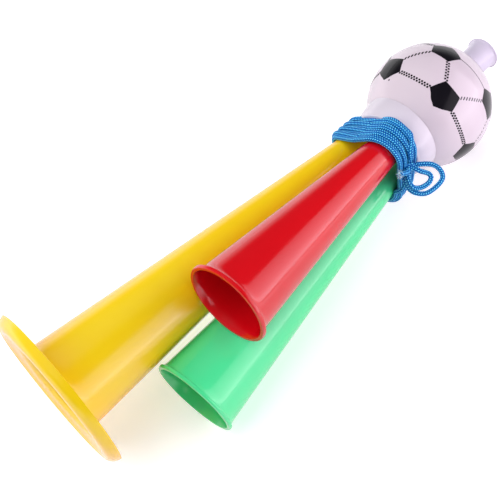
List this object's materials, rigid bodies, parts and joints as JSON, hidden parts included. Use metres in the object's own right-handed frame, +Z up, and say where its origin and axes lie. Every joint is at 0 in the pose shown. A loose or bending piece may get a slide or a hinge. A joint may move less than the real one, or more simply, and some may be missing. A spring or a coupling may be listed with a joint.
{
  "type": "three-tone fan horn",
  "caption": "Blown fan horn: a ball-shaped air chamber with a mouthpiece feeds plastic trumpets of different lengths through reeds, with a braided lanyard wound round their roots.",
  "frame": {"origin": "on the surface that the horn lies on, under the middle of the horn without its lanyard", "axes": "+X from the mouthpiece end to the bells, +Y to the side of the middle trumpet, +Z up from the surface"},
  "size_m": [0.2986, 0.1115, 0.0873],
  "materials": {
    "ball_white": "glossy white plastic with a faint pink cast, printed with black football patches and stitch lines",
    "pale_white": "glossy cool white plastic",
    "yellow_plastic": "glossy moulded yellow plastic",
    "green_plastic": "glossy moulded light green plastic",
    "red_plastic": "glossy moulded red plastic",
    "blue_braid": "braided bright blue cord",
    "reed_black": "satin black plastic",
    "reed_brass": "thin rolled brass",
    "clip_white": "satin white plastic"
  },
  "bodies": {
    "chamber": {"ball_shell": "ball_white", "mouthpiece": "pale_white", "collar": "pale_white", "socket_plate": "pale_white", "lanyard_winding": "blue_braid", "lanyard_knot": "blue_braid", "lanyard_bow_outer": "blue_braid", "lanyard_bow_inner": "blue_braid", "lanyard_end": "blue_braid", "yellow_reed_body": "reed_black", "yellow_reed_clip": "clip_white", "green_reed_body": "reed_black", "green_reed_clip": "clip_white", "red_reed_body": "reed_black", "red_reed_clip": "clip_white"},
    "yellow_trumpet": {"yellow_horn": "yellow_plastic"},
    "yellow_tongue": {"yellow_reed_tongue": "reed_brass"},
    "green_trumpet": {"green_horn": "green_plastic"},
    "green_tongue": {"green_reed_tongue": "reed_brass"},
    "red_trumpet": {"red_horn": "red_plastic"},
    "red_tongue": {"red_reed_tongue": "reed_brass"}
  },
  "joints": [
    {"name": "yellow_pull", "type": "slide", "parent": "chamber", "child": "yellow_trumpet", "axis": [0.9952, -0.0839, 0.0511], "range_m": [0, 0.016]},
    {"name": "yellow_beat", "type": "hinge", "parent": "chamber", "child": "yellow_tongue", "pos_m": [-0.07007, 0.00426, 0.03184], "axis": [-0.0681, -0.2141, 0.9744], "range_deg": [0, 3], "stiffness_Nm_per_rad": 0.01, "springref_deg": -2.86},
    {"name": "green_pull", "type": "slide", "parent": "chamber", "child": "green_trumpet", "axis": [0.9991, 0.0419, -0.0054], "range_m": [0, 0.016]},
    {"name": "green_beat", "type": "hinge", "parent": "chamber", "child": "green_tongue", "pos_m": [-0.0694, 0.02572, 0.02221], "axis": [0.034, -0.8732, -0.4861], "range_deg": [0, 3], "stiffness_Nm_per_rad": 0.01, "springref_deg": -2.86},
    {"name": "red_pull", "type": "slide", "parent": "chamber", "child": "red_trumpet", "axis": [0.9906, 0.0289, 0.1335], "range_m": [0, 0.016]},
    {"name": "red_beat", "type": "hinge", "parent": "chamber", "child": "red_tongue", "pos_m": [-0.07121, 0.02465, 0.04843], "axis": [0.0286, 0.9119, -0.4095], "range_deg": [0, 3], "stiffness_Nm_per_rad": 0.01, "springref_deg": -2.86}
  ]
}
